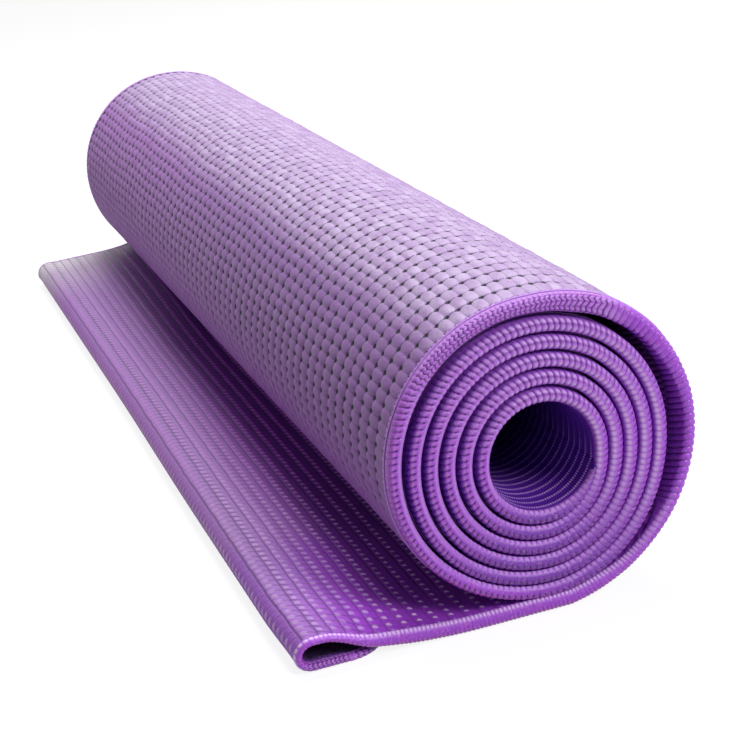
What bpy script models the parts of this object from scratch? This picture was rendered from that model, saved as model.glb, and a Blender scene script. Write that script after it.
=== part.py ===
"""Rolled exercise mat, lying with its outer end on the floor and that end folded under.

The mat is modelled flat, in its own coordinates, and then rolled. A flat point is (s, y, n):
s runs along the mat from the folded end to the core end, y across it, and n through its
thickness, from the ribbed base face (negative) to the practice face (positive).
Metres, +Z up. The origin is the middle of the footprint, on the floor.
"""

import math

import bmesh
import bpy
from mathutils import Vector

MM = 0.001

# The mat as it is cut
MAT_WIDTH = 610 * MM
MAT_THICKNESS = 5.6 * MM
CORNER_RADIUS = 18 * MM
SCRIM_THICKNESS = 0.4 * MM
LAMINATE_GAP = 0.3 * MM
PRACTICE_LAYER_SHARE = 0.5

# The binding that wraps every edge
BINDING_WIDTH = 6.5 * MM
BINDING_THICKNESS = 0.6 * MM
BINDING_NOSE_WALL = 1.3 * MM
BINDING_NOSE_ROUND = 1.7 * MM
BINDING_GAP = 0.3 * MM
PINCH_TAPER = 1.5 * MM

# The roll
CORE_RADIUS = 22 * MM
TURNS = 6
TURN_PITCH = 6.6 * MM
TURN_LOOSENESS = 0.42 * MM
LOOSEST_ANGLE = math.radians(125)
SETTLE_GAP = 0.45 * MM
FLOOR_FLAT_DEPTH = 0.5 * MM
CORE_END_ANGLE = math.radians(-80)
STEP_TURN_SHARE = 0.25
LAP_SETTLE_SHARE = 0.56

# The folded end
HEM_FOLD_RADIUS = 4.9 * MM
HEM_LENGTH = 27.5 * MM
FLAP_SLOPE_RUN = 68 * MM
FLAP_FLAT_RUN = 31 * MM

# How finely the curves are cut
STEPS_PER_TURN = 24
CORE_END_STEPS_PER_TURN = 72
HEM_FOLD_STEPS = 8
FLAP_SLOPE_STEPS = 7
CORNER_STEPS = 5
CLOSEST_STATIONS = 0.25 * MM
CLOSEST_ANGLE = math.radians(2)

HALF_THICKNESS = MAT_THICKNESS / 2
HALF_WIDTH = MAT_WIDTH / 2
EDGE_INSET = BINDING_NOSE_WALL + BINDING_GAP
PINCH_DEPTH = BINDING_THICKNESS + BINDING_GAP
PINCH_WIDTH = BINDING_WIDTH + BINDING_GAP
FOAM_TOTAL = MAT_THICKNESS - SCRIM_THICKNESS - 2 * LAMINATE_GAP
PRACTICE_THICKNESS = FOAM_TOTAL * PRACTICE_LAYER_SHARE
SCRIM_TOP = HALF_THICKNESS - PRACTICE_THICKNESS - LAMINATE_GAP
SCRIM_BOTTOM = SCRIM_TOP - SCRIM_THICKNESS

PRACTICE_PURPLE = (0.235, 0.040, 0.420, 1.0)
BASE_LILAC = (0.400, 0.255, 0.520, 1.0)
SCRIM_WHITE = (0.800, 0.790, 0.820, 1.0)
BINDING_VIOLET = (0.330, 0.090, 0.530, 1.0)
FOAM_ROUGHNESS = 0.55
YARN_ROUGHNESS = 0.85
THREAD_ROUGHNESS = 0.45
SHARP_ANGLE = math.radians(40)


def clear_scene():
    for old in list(bpy.data.objects):
        bpy.data.objects.remove(old, do_unlink=True)


def smooth_step(share):
    share = min(max(share, 0.0), 1.0)
    return share * share * (3 - 2 * share)


def pitch_at(angle):
    """Distance from one turn to the next, wider where the roll has sprung open."""
    return TURN_PITCH + TURN_LOOSENESS * math.cos(angle - LOOSEST_ANGLE)


def turns_inside(turn):
    """How many whole turns lie inside this place: it drops by one over a short part of each turn."""
    whole = math.floor(turn)
    return TURNS - whole - smooth_step((turn - whole) / STEP_TURN_SHARE)


BOTTOM_ANGLE = -math.pi / 2
SETTLED_RADIUS = CORE_RADIUS + MAT_THICKNESS + (TURNS - 1) * pitch_at(BOTTOM_ANGLE)
ROLL_HEIGHT = SETTLED_RADIUS + SETTLE_GAP + MAT_THICKNESS
LAP_RADIUS = ROLL_HEIGHT + FLOOR_FLAT_DEPTH
HEM_TIP_RADIUS = HEM_FOLD_RADIUS + HALF_THICKNESS
FOOTPRINT = HEM_TIP_RADIUS + FLAP_SLOPE_RUN + FLAP_FLAT_RUN + LAP_RADIUS
ROLL_X = FOOTPRINT / 2 - LAP_RADIUS
FOLD_X = ROLL_X - FLAP_FLAT_RUN - FLAP_SLOPE_RUN


def outer_radius(turn):
    """Radius of the base face. The first turn is a loose lap, which settles onto the rest."""
    angle = BOTTOM_ANGLE + 2 * math.pi * turn
    if turn < 1:
        settled = smooth_step((turn - LAP_SETTLE_SHARE) / (1 - LAP_SETTLE_SHARE))
        return LAP_RADIUS + (SETTLED_RADIUS - LAP_RADIUS) * settled
    return CORE_RADIUS + MAT_THICKNESS + turns_inside(turn) * pitch_at(angle)


def roll_point(turn):
    angle = BOTTOM_ANGLE + 2 * math.pi * turn
    radius = outer_radius(turn) - HALF_THICKNESS
    x = ROLL_X + radius * math.cos(angle)
    z = ROLL_HEIGHT + radius * math.sin(angle)
    return (x, max(z, HALF_THICKNESS))


def centre_line():
    """The middle of the mat's thickness, seen from the front, from the folded end to the core."""
    points = [(FOLD_X + HEM_LENGTH, HALF_THICKNESS)]
    for step in range(HEM_FOLD_STEPS + 1):
        angle = BOTTOM_ANGLE - math.pi * step / HEM_FOLD_STEPS
        x = FOLD_X + HEM_FOLD_RADIUS * math.cos(angle)
        z = HALF_THICKNESS + HEM_FOLD_RADIUS * (1 + math.sin(angle))
        points.append((x, z))
    for step in range(1, FLAP_SLOPE_STEPS + 1):
        share = step / FLAP_SLOPE_STEPS
        fall = (1 + math.cos(math.pi * share)) / 2
        x = FOLD_X + FLAP_SLOPE_RUN * share
        z = HALF_THICKNESS + 2 * HEM_FOLD_RADIUS * fall
        points.append((x, z))
    flat_end_turn = math.acos(ROLL_HEIGHT / LAP_RADIUS) / (2 * math.pi)
    points.append(roll_point(flat_end_turn))
    end_turn = TURNS + (CORE_END_ANGLE - BOTTOM_ANGLE) / (2 * math.pi)
    fine_turn = end_turn - CORNER_RADIUS / (math.pi * CORE_RADIUS)
    turn = 1 / STEPS_PER_TURN
    while turn < end_turn:
        points.append(roll_point(turn))
        turn += 1 / (STEPS_PER_TURN if turn < fine_turn else CORE_END_STEPS_PER_TURN)
    points.append(roll_point(end_turn))
    return points


class Roll:
    """Takes a flat point (s, y, n) to its place on the rolled mat."""

    def __init__(self, points):
        self.points = [Vector(point) for point in points]
        runs = [(b - a) for a, b in zip(self.points, self.points[1:])]
        self.at = [0.0]
        for run in runs:
            self.at.append(self.at[-1] + run.length)
        self.length = self.at[-1]
        sides = [Vector((-run.y, run.x)).normalized() for run in runs]
        self.sides = []
        for before, after in zip([sides[0]] + sides, sides + [sides[-1]]):
            middle = (before + after).normalized()
            self.sides.append(middle / middle.dot(after))

    def place(self, s, y, n):
        last = len(self.at) - 2
        low, high = 0, last
        while low < high:
            middle = (low + high + 1) // 2
            if self.at[middle] <= s:
                low = middle
            else:
                high = middle - 1
        share = (s - self.at[low]) / (self.at[low + 1] - self.at[low])
        a = self.points[low] + n * self.sides[low]
        b = self.points[low + 1] + n * self.sides[low + 1]
        spot = a.lerp(b, share)
        return Vector((spot.x, y, spot.y))


def least_gap(roll):
    """The smallest distance between two neighbouring turns, face to face, on the centre line's points."""
    start = HEM_FOLD_STEPS + FLAP_SLOPE_STEPS + 2
    least = math.inf
    for i in range(start, len(roll.points) - STEPS_PER_TURN // 2):
        point = roll.points[i]
        for j in range(i + STEPS_PER_TURN // 2, len(roll.points) - 1):
            a, b = roll.points[j], roll.points[j + 1]
            run = b - a
            share = min(max((point - a).dot(run) / run.length_squared, 0.0), 1.0)
            least = min(least, (point - a.lerp(b, share)).length)
    return least - MAT_THICKNESS


def width_at(offset, s):
    """Half the mat's width at s, measured this far inside its edge, with the corners rounded."""
    from_end = min(s, ROLL.length - s)
    if from_end >= CORNER_RADIUS:
        return HALF_WIDTH - offset
    across = (CORNER_RADIUS - offset) ** 2 - (CORNER_RADIUS - from_end) ** 2
    return HALF_WIDTH - CORNER_RADIUS + math.sqrt(max(across, 0.0))


def corner_stations(offset):
    """Distances from an end at which a line this far inside the rounded corner gets a point."""
    return [
        CORNER_RADIUS - (CORNER_RADIUS - offset) * math.cos(math.pi / 2 * step / CORNER_STEPS)
        for step in range(CORNER_STEPS + 1)
    ]


def spread_out(values, closest):
    """The values in order, without any that nearly repeats the one before it."""
    kept = []
    for value in sorted(values):
        if not kept or value - kept[-1] > closest:
            kept.append(value)
    return kept


def stations(first, last, from_ends):
    """Places along the mat where a sweep gets a section: its ends, each bend, and what the ends ask for."""
    wanted = ROLL.at + from_ends + [ROLL.length - s for s in from_ends]
    between = [s for s in wanted if first < s < last - CLOSEST_STATIONS]
    return spread_out([first] + between, CLOSEST_STATIONS) + [last]


def material(name, colour, roughness):
    made = bpy.data.materials.new(name)
    made.use_nodes = True
    made.diffuse_color = colour
    shader = made.node_tree.nodes["Principled BSDF"]
    shader.inputs["Base Color"].default_value = colour
    shader.inputs["Roughness"].default_value = roughness
    shader.inputs["Metallic"].default_value = 0.0
    return made


def sweep(name, sections, finish, collection):
    """One closed solid: a face on the first flat section, extruded through all the others, rolled up."""
    mesh = bmesh.new()
    ring = [mesh.verts.new(ROLL.place(*point)) for point in sections[0]]
    face = mesh.faces.new(ring)
    first_face = face
    for section in sections[1:]:
        grown = bmesh.ops.extrude_face_region(mesh, geom=[face])["geom"]
        if face is not first_face:
            mesh.faces.remove(face)
        face = next(item for item in grown if isinstance(item, bmesh.types.BMFace))
        copies = {vert.co.to_tuple(): vert for vert in face.verts}
        ring = [copies[vert.co.to_tuple()] for vert in ring]
        for vert, point in zip(ring, section):
            vert.co = ROLL.place(*point)
    bmesh.ops.recalc_face_normals(mesh, faces=mesh.faces)
    data = bpy.data.meshes.new(name)
    mesh.to_mesh(data)
    mesh.free()
    data.materials.append(finish)
    data.shade_smooth()
    data.set_sharp_from_angle(angle=SHARP_ANGLE)
    piece = bpy.data.objects.new(name, data)
    collection.objects.link(piece)
    return piece


def foam_layer(name, side, inner_face, finish, collection):
    """A foam layer on one side of the scrim, pinched thinner along every edge for the binding."""
    full = side * HALF_THICKNESS
    pinched = side * (HALF_THICKNESS - PINCH_DEPTH)
    from_ends = corner_stations(EDGE_INSET) + [PINCH_WIDTH, PINCH_WIDTH + PINCH_TAPER]
    sections = []
    for s in stations(EDGE_INSET, ROLL.length - EDGE_INSET, from_ends):
        from_end = min(s, ROLL.length - s)
        swell = min(max((from_end - PINCH_WIDTH) / PINCH_TAPER, 0.0), 1.0)
        face = pinched + (full - pinched) * swell
        edge = width_at(EDGE_INSET, s)
        pinch = min(width_at(PINCH_WIDTH, s), edge - PINCH_TAPER)
        body = pinch - PINCH_TAPER
        outline = [
            (-edge, pinched), (-pinch, pinched), (-body, face),
            (body, face), (pinch, pinched), (edge, pinched),
            (edge, inner_face), (-edge, inner_face),
        ]
        sections.append([(s, y, n) for y, n in outline])
    return sweep(name, sections, finish, collection)


def scrim_sheet(finish, collection):
    sections = []
    for s in stations(EDGE_INSET, ROLL.length - EDGE_INSET, corner_stations(EDGE_INSET)):
        edge = width_at(EDGE_INSET, s)
        outline = [(-edge, SCRIM_BOTTOM), (edge, SCRIM_BOTTOM), (edge, SCRIM_TOP), (-edge, SCRIM_TOP)]
        sections.append([(s, y, n) for y, n in outline])
    return sweep("woven_scrim", sections, finish, collection)


def binding_outline():
    """The binding's channel, as (distance inside the mat's edge, n): a round nose and two legs."""
    nose = HALF_THICKNESS - BINDING_NOSE_ROUND
    wall = HALF_THICKNESS - BINDING_THICKNESS
    return [
        (BINDING_WIDTH, -HALF_THICKNESS), (BINDING_NOSE_ROUND, -HALF_THICKNESS), (0.0, -nose),
        (0.0, nose), (BINDING_NOSE_ROUND, HALF_THICKNESS), (BINDING_WIDTH, HALF_THICKNESS),
        (BINDING_WIDTH, wall), (BINDING_NOSE_WALL, wall),
        (BINDING_NOSE_WALL, -wall), (BINDING_WIDTH, -wall),
    ]


def edge_binding(name, side, finish, collection):
    """The binding of one long edge, from corner to corner."""
    first = CORNER_RADIUS + BINDING_GAP
    sections = [
        [(s, side * (HALF_WIDTH - inside), n) for inside, n in binding_outline()]
        for s in stations(first, ROLL.length - first, [])
    ]
    return sweep(name, sections, finish, collection)


def end_binding(name, end, inward, finish, collection):
    """The binding of one end, which also goes round the two rounded corners beside it."""
    bends = [abs(s - end) for s in ROLL.at if CLOSEST_STATIONS < abs(s - end) < CORNER_RADIUS]
    angles = [math.acos(1 - bend / CORNER_RADIUS) for bend in bends]
    angles += [math.pi / 2 * step / CORNER_STEPS for step in range(CORNER_STEPS + 1)]
    angles = spread_out(angles, CLOSEST_ANGLE)
    path = [(-1, angle) for angle in reversed(angles)] + [(1, angle) for angle in angles]
    sections = []
    for side, angle in path:
        section = []
        for inside, n in binding_outline():
            radius = CORNER_RADIUS - inside
            s = end + inward * (CORNER_RADIUS - radius * math.cos(angle))
            y = side * (HALF_WIDTH - CORNER_RADIUS + radius * math.sin(angle))
            section.append((s, y, n))
        sections.append(section)
    return sweep(name, sections, finish, collection)


def build():
    collection = bpy.data.collections.new("yoga_mat")
    bpy.context.scene.collection.children.link(collection)
    practice = material("practice_foam", PRACTICE_PURPLE, FOAM_ROUGHNESS)
    base = material("base_foam", BASE_LILAC, FOAM_ROUGHNESS)
    yarn = material("scrim_yarn", SCRIM_WHITE, YARN_ROUGHNESS)
    thread = material("binding_thread", BINDING_VIOLET, THREAD_ROUGHNESS)
    foam_layer("practice_foam", 1, SCRIM_TOP + LAMINATE_GAP, practice, collection)
    foam_layer("base_foam", -1, SCRIM_BOTTOM - LAMINATE_GAP, base, collection)
    scrim_sheet(yarn, collection)
    edge_binding("front_edge_binding", -1, thread, collection)
    edge_binding("rear_edge_binding", 1, thread, collection)
    end_binding("hem_end_binding", 0.0, 1, thread, collection)
    end_binding("core_end_binding", ROLL.length, -1, thread, collection)
    print(f"mat {ROLL.length:.4f} m long, least gap between turns {least_gap(ROLL) / MM:.2f} mm")


ROLL = Roll(centre_line())
clear_scene()
build()
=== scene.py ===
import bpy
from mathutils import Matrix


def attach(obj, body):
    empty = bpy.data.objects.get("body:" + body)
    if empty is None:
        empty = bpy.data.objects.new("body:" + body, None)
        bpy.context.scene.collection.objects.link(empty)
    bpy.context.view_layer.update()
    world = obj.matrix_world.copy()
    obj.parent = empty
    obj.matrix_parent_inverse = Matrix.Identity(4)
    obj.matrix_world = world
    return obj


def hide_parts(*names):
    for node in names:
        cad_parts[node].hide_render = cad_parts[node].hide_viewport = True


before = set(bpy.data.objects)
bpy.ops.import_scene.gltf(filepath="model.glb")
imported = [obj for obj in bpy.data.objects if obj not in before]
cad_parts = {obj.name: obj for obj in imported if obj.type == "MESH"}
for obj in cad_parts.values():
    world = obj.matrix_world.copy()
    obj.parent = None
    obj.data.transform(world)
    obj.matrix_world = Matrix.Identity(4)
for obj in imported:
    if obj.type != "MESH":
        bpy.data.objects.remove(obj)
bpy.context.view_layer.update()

import math

import bmesh
import bpy
import numpy as np
from mathutils import Matrix, Vector

# A rolled mat with its outer end folded under. Each piece is shaped flat, in
# (s, y, n), and then rolled: s runs along the mat from the folded end to the
# core, y across it, and n through it, with the practice face at +n. Metres.
# A pair of sizes is mostly a ramp: where a form starts, and where it is full.

mm = 0.001

mat = {
    "halfWidth": 305 * mm, "thickness": 5.6 * mm, "cornerRadius": 18 * mm,
    "coreRadius": 22 * mm, "turns": 6, "turnPitch": 6.6 * mm,
    "turnLooseness": 0.42 * mm, "loosestAngle": math.radians(125), "settleGap": 0.45 * mm,
    "floorFlatDepth": 0.5 * mm,
    "coreEndAngle": math.radians(-17),  # the inner end is drawn out thin, and closes the bore
    "stepTurnShare": 0.25, "lapSettleShare": 0.56, "hemFoldRadius": 4.9 * mm,
    "hemLength": 33 * mm, "flapSlopeRun": 68 * mm, "flapFlatRun": 31 * mm,
    "hemThickness": 3.4 * mm,  # the fold squeezes the foam
    "squeezed": (45 * mm, 5 * mm), "tailGap": 0.15 * mm, "tailCorner": 5 * mm,
    "flapEase": (4 * mm, 26 * mm),  # past the fold, where the flap takes its own form
    "foldBow": 1.1 * mm,  # the fold bows outward before its near end
    "bowFrom": (40 * mm, -160 * mm), "bowTo": (304 * mm, 262 * mm),
    "hemSkew": 2.5 * mm,  # and is turned under a little askew
    "frontSag": 0.55,  # the flap droops beside the hem's rounded corner
    "sagFrom": (284 * mm, 304 * mm),
    "farLift": 12 * mm,  # and its far part stands up against the roll
    "liftFrom": (60 * mm, 280 * mm), "liftRise": (5 * mm, 57 * mm),
    "liftFall": (89 * mm, 57 * mm), "liftPower": 1.35,
    "selvage": 0.9 * mm,  # the flap's front edge is a little thicker
    "selvageFrom": (290 * mm, 302 * mm), "selvageTurns": (0.1, 0.04),
    # by turn, in mm: how far the lap is off a circle, how far its near rim stands
    # out, and how far it closes on the roll further in
    "lapTrim": ((0, 0), (0.34, 0), (0.42, 1.0), (0.5, 0.3), (0.62, -0.3), (0.72, -0.5), (0.82, -0.2), (1, 0)),
    "rimOut": ((0, 0), (0.06, -0.8), (0.12, -1.1), (0.2, -0.5), (0.28, 0.3), (0.36, 0.3), (0.4, -0.5),
               (0.45, -1.5), (0.5, -1.9), (0.62, -0.7), (0.72, 0), (1, 0)),
    "closeIn": ((0, 0), (0.06, 1.0), (0.15, 3.2), (0.27, 3.2), (0.35, 2.2), (0.41, 0), (1, 0)),
    "rimFrom": (268 * mm, 304 * mm),
    "ropeTurns": (0.13, 0.19, 0.38, 0.44),  # where the lap's near rim is ribbed like a rope
    "pathSteps": {"hem": 60, "fold": 60, "slope": 160, "flat": 60, "turns": 5200},
    "pathSmoothings": 12,
}

halfThick = mat["thickness"] / 2
halfWidth = mat["halfWidth"]
bottomAngle = -math.pi / 2


def ease(share):
    share = np.clip(share, 0.0, 1.0)
    return share * share * (3 - 2 * share)


def ramp(value, start, full):
    return ease((value - start) / (full - start))


def between(value, start, full, last, end):
    return ramp(value, start, full) * ramp(value, end, last)


def within(pair, share):
    low, high = pair
    return low + (high - low) * share


def spot(place, middle, width):
    return np.exp(-((place - middle) / width) ** 2)


def pitchAt(angle):
    return mat["turnPitch"] + mat["turnLooseness"] * np.cos(angle - mat["loosestAngle"])


settledRadius = mat["coreRadius"] + mat["thickness"] + (mat["turns"] - 1) * pitchAt(bottomAngle)
rollHeight = settledRadius + mat["settleGap"] + mat["thickness"]
lapRadius = rollHeight + mat["floorFlatDepth"]
footprint = mat["hemFoldRadius"] + halfThick + mat["flapSlopeRun"] + mat["flapFlatRun"] + lapRadius
rollX = footprint / 2 - lapRadius
foldX = rollX - mat["flapFlatRun"] - mat["flapSlopeRun"]


def outerRadius(turn):
    angle = bottomAngle + 2 * math.pi * turn
    lap = lapRadius + (settledRadius - lapRadius) * ramp(turn, mat["lapSettleShare"], 1)
    whole = np.floor(turn)
    inside = np.maximum(mat["turns"] - whole - ease((turn - whole) / mat["stepTurnShare"]), 0)
    wound = mat["coreRadius"] + mat["thickness"] + inside * pitchAt(angle)
    return np.where(turn < 1, lap, wound)


def pathPoints():
    steps, radius = mat["pathSteps"], mat["hemFoldRadius"]
    points = [(x, halfThick) for x in np.linspace(foldX + mat["hemLength"], foldX, steps["hem"])]
    for a in np.linspace(0, math.pi, steps["fold"])[1:]:
        points.append((foldX - radius * math.sin(a), halfThick + radius * (1 - math.cos(a))))
    for share in np.linspace(0, 1, steps["slope"])[1:]:
        fall = (1 + math.cos(math.pi * share)) / 2
        points.append((foldX + mat["flapSlopeRun"] * share, halfThick + 2 * radius * fall))
    flatTurn = math.acos(rollHeight / lapRadius) / (2 * math.pi)
    flatEnd = rollX + (lapRadius - halfThick) * math.sin(2 * math.pi * flatTurn)
    points += [(x, halfThick) for x in np.linspace(points[-1][0], flatEnd, steps["flat"])[1:-1]]
    endTurn = mat["turns"] + (mat["coreEndAngle"] - bottomAngle) / (2 * math.pi)
    turns = np.linspace(flatTurn, endTurn, steps["turns"])
    angles = bottomAngle + 2 * math.pi * turns
    radii = outerRadius(turns) - halfThick
    x = rollX + radii * np.cos(angles)
    z = np.maximum(rollHeight + radii * np.sin(angles), halfThick)
    line = np.vstack([np.array(points), np.stack([x, z], 1)])
    return line, np.concatenate([np.zeros(len(points)), turns])


linePoints, lineTurns = pathPoints()
lineAt = np.concatenate([[0], np.cumsum(np.hypot(*np.diff(linePoints, axis=0).T))])
lineRuns = np.gradient(linePoints, lineAt, axis=0)
for smoothing in range(mat["pathSmoothings"]):
    lineRuns[1:-1] = (lineRuns[:-2] + lineRuns[1:-1] + lineRuns[2:]) / 3
lineRuns /= np.hypot(*lineRuns.T)[:, None]
matLength = lineAt[-1]


def lengthAt(turn):
    return float(np.interp(turn, lineTurns, lineAt))


def turnAt(s):
    return np.interp(s, lineAt, lineTurns)


def byTurn(table, s):
    return np.interp(turnAt(s), *zip(*table))


foldStart = mat["hemLength"]
foldEnd = foldStart + math.pi * mat["hemFoldRadius"]
rollStart = lengthAt(0.001)
lapEnd = lengthAt(1.0)
boreStart = lengthAt(5.0)
print(f"path: mat {matLength:.4f} m long, roll starts at {rollStart:.4f}, lap ends at {lapEnd:.4f}")


def plyShare(s):
    # the share of its thickness that the mat keeps, at the fold and in the thin tail
    atFold = (1 - mat["hemThickness"] / mat["thickness"]) * ramp(s - foldEnd, *mat["squeezed"])
    beyond = turnAt(s) - mat["turns"]
    room = mat["turnPitch"] * (1 - ease(beyond / mat["stepTurnShare"])) - mat["tailGap"]
    return np.minimum(1 - atFold, np.where(beyond > 0, room / mat["thickness"], 1))


def rolled(s, y, n):
    x, z = (np.interp(s, lineAt, values) for values in linePoints.T)
    runX, runZ = (np.interp(s, lineAt, values) for values in lineRuns.T)
    turn, along = turnAt(s), s - foldEnd
    size = np.hypot(runX, runZ)
    onFlap = ramp(along, *mat["flapEase"])
    n = halfThick - (halfThick - n) * plyShare(s)
    thicker = onFlap * ramp(turn, *mat["selvageTurns"]) * ramp(-y, *mat["selvageFrom"])
    n = n + mat["selvage"] * thicker * np.clip(n / halfThick, 0, 1)
    z = z - mat["frontSag"] * (z - halfThick) * ramp(-y, *mat["sagFrom"]) * (s < rollStart) * onFlap
    riseStart, riseFull = mat["liftRise"]
    raised = np.clip((along - riseStart) / (riseFull - riseStart), 0, 1) ** mat["liftPower"]
    z = z + mat["farLift"] * raised * ramp(along, *mat["liftFall"]) * ramp(y, *mat["liftFrom"])
    x = x - n * runZ / size
    z = z + n * runX / size
    bow = ramp(y, *mat["bowFrom"]) * ramp(-y, *mat["bowTo"])
    x = x - mat["foldBow"] * bow * ramp(s, rollStart, foldEnd)
    y = y + mat["hemSkew"] * ramp(s, foldEnd, foldStart)
    nearRim = ramp(-y, *mat["rimFrom"])
    shift = byTurn(mat["lapTrim"], s) + nearRim * byTurn(mat["rimOut"], s)
    shift = (shift - (1 - nearRim) * byTurn(mat["closeIn"], s)) * mm * (turn < 1) * (turn > 0)
    outX, outZ = x - rollX, z - rollHeight
    away = np.maximum(np.hypot(outX, outZ), mm)
    return np.stack([x + shift * outX / away, y + 0 * x, z + shift * outZ / away], -1)


def halfAt(s, inset):
    fromEnd = np.minimum(s, matLength - s)
    radius = np.where(s < matLength / 2, mat["cornerRadius"], mat["tailCorner"])
    rounded = halfWidth - radius + np.sqrt(np.maximum((radius - inset) ** 2 - (radius - fromEnd) ** 2, 0))
    return np.where(fromEnd < radius, rounded, halfWidth - inset)


def linked(name, data):
    made = bpy.data.objects.new(name, data)
    bpy.context.scene.collection.objects.link(made)
    return made


def wrappedTube(name, s, y, n, marks, material):
    # s, y and n have a row for each point round the tube and a column for each station
    ring, stations = s.shape
    tube = bmesh.new()
    bmesh.ops.create_grid(tube, x_segments=stations - 1, y_segments=ring, size=1)
    tube.verts.ensure_lookup_table()
    seam = {tube.verts[ring * stations + i]: tube.verts[i] for i in range(stations)}
    bmesh.ops.weld_verts(tube, targetmap=seam)
    bmesh.ops.holes_fill(tube, edges=[e for e in tube.edges if e.is_boundary], sides=0)
    made = bpy.data.meshes.new(name)
    tube.to_mesh(made)
    tube.free()
    place = rolled(s.ravel(), y.ravel(), n.ravel())
    made.vertices.foreach_set("co", place.astype(np.float32).ravel())
    made.update()
    made.calc_loop_triangles()
    corners = np.empty(len(made.loop_triangles) * 3, np.int32)
    made.loop_triangles.foreach_get("vertices", corners)
    a, b, c = (place[corners[k::3]] for k in range(3))
    if np.einsum("ij,ij->i", a, np.cross(b, c)).sum() < 0:
        made.flip_normals()
    vertexOf = np.empty(len(made.loops), np.int32)
    made.loops.foreach_get("vertex_index", vertexOf)
    flat = np.stack([s.ravel(), y.ravel()], 1)[vertexOf]
    made.uv_layers.new(name="flat").data.foreach_set("uv", flat.astype(np.float32).ravel())
    for mark, values in marks.items():
        layer = made.attributes.new(mark, "FLOAT", "POINT")
        layer.data.foreach_set("value", np.broadcast_to(values, s.shape).astype(np.float32).ravel())
    made.shade_smooth()
    made.materials.append(material)
    piece = linked(name, made)
    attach(piece, "root")
    print(f"{name}: {len(made.loop_triangles)} triangles")
    return piece


making = {"tree": None}  # the node tree that new nodes go into


def newMaterial(name, finish):
    made = bpy.data.materials.new(name)
    made.use_nodes = True
    making["tree"] = made.node_tree
    shader = made.node_tree.nodes["Principled BSDF"]
    for socket, value in finish.items():
        shader.inputs[socket].default_value = value
    return made, shader


def addNode(kind, settings=(), **inputs):
    tree = making["tree"]
    node = tree.nodes.new(kind)
    for key, value in dict(settings).items():
        setattr(node, key, value)
    for key, value in inputs.items():
        socket = node.inputs[int(key[1:])] if key[1:].isdigit() else node.inputs[key]
        if isinstance(value, bpy.types.NodeSocket):
            tree.links.new(value, socket)
        else:
            socket.default_value = value
    return node.outputs


def readMark(mark):
    return addNode("ShaderNodeAttribute", {"attribute_name": mark})["Fac"]


def maths(operation, a, b=0.0, clamp=False):
    return addNode("ShaderNodeMath", {"operation": operation, "use_clamp": clamp}, i0=a, i1=b)[0]


def mathOf(operation):
    return lambda a, b: maths(operation, a, b)


plus, minus, times = mathOf("ADD"), mathOf("SUBTRACT"), mathOf("MULTIPLY")
over, higher = mathOf("DIVIDE"), mathOf("MAXIMUM")


def waveOf(value, pitch):
    return maths("SINE", times(value, 2 * math.pi / pitch))


def mixed(share, a, b):
    return addNode("ShaderNodeMix", {"data_type": "RGBA"}, i0=share, i6=a, i7=b)[2]


def painted(body, look, coats):
    # lays a look's colours over one another, each by its own share
    for share, colour in coats:
        body = mixed(share, body, look[colour])
    return body


def spread(value, low, high, lowOut=0.0, highOut=1.0):
    return addNode("ShaderNodeMapRange", {"interpolation_type": "SMOOTHSTEP"}, i0=value, i1=low, i2=high,
                   i3=lowOut, i4=highOut)[0]


def noise(scale, detail, stretch=None):
    place = addNode("ShaderNodeTexCoord")["Object"]
    if stretch:
        place = addNode("ShaderNodeMapping", i0=place, i3=stretch)[0]
    return addNode("ShaderNodeTexNoise", i0=place, i2=scale, i3=detail)[0]


def swayOf(scale, size):
    # a slow wander: no line is quite straight
    return times(minus(noise(scale, 1.0), 0.5), size)


def flatAxes():
    place = addNode("ShaderNodeUVMap", {"uv_map": "flat"})[0]
    split = addNode("ShaderNodeSeparateXYZ", i0=place)
    return split[0], split[1]


def toWhole(value, size=1.0):
    # how far a value lies from the nearest whole number, from 0 to half of size
    phase = maths("FRACT", plus(value, 0.5))
    return times(maths("ABSOLUTE", minus(phase, 0.5)), size)


def fromMiddle(a, b, radii):
    # how far a place is from a dot's middle, with its rim at 1
    a, b = (over(offset, radius) for offset, radius in zip((a, b), radii))
    return maths("SQRT", plus(times(a, a), times(b, b)))


def dressed(shader, colour, height, bump):
    strength, distance = bump
    bump = addNode("ShaderNodeBump", Strength=strength, Distance=distance, Height=height)[0]
    for value, socket in ((colour, "Base Color"), (bump, "Normal")):
        making["tree"].links.new(value, shader.inputs[socket])


baseLook = {
    # pale is painted light on the upward sides; deep is painted shade on the side next to the floor, and also the
    # colour of the darker grain and wrinkle streaks
    "pale": (0.59, 0.465, 0.705, 1),
    "crown": (0.268, 0.136, 0.375, 1),
    "farCrown": (0.43, 0.18, 0.57, 1),
    "deep": (0.265, 0.065, 0.37, 1),
    # painted shade where the base face lies under the flap or inside the roll
    "tuckedShade": (0.04, 0.01, 0.085, 1),
    # line and hole are painted shade in the pattern's grooves and holes
    "line": (0.09, 0.03, 0.15, 1),
    "hole": (0.01, 0.003, 0.026, 1),
    "finish": {"Roughness": 0.62, "Specular IOR Level": 0.4, "Sheen Weight": 0.08, "Sheen Roughness": 0.6},
    "rowPitch": 5.0, "cellPitch": 9.6, "holeRadii": (1.15, 1.4),
    "holeRim": (1.15, 0.75), "crossLine": (0.58, 0.12), "rowLine": (0.58, 0.1),
    "lineShares": (0.88, 0.36),  # of the cross lines and the row lines
    "sway": (140.0, 0.12), "farBlend": (-0.12, 0.24, 0.0, 0.8), "topLit": (0.0, 0.4, 1.0),
    "toned": (0.1, 0.9, 0.0, 0.25), "grainScale": 420.0,
    "grainStreak": (0.4, 0.65, 0.0, 0.14), "wrinkleScale": 170.0, "wrinkleStreak": (0.42, 0.62, 0.0, 0.26),
    "bump": (0.5, 0.0012),
}


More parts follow.
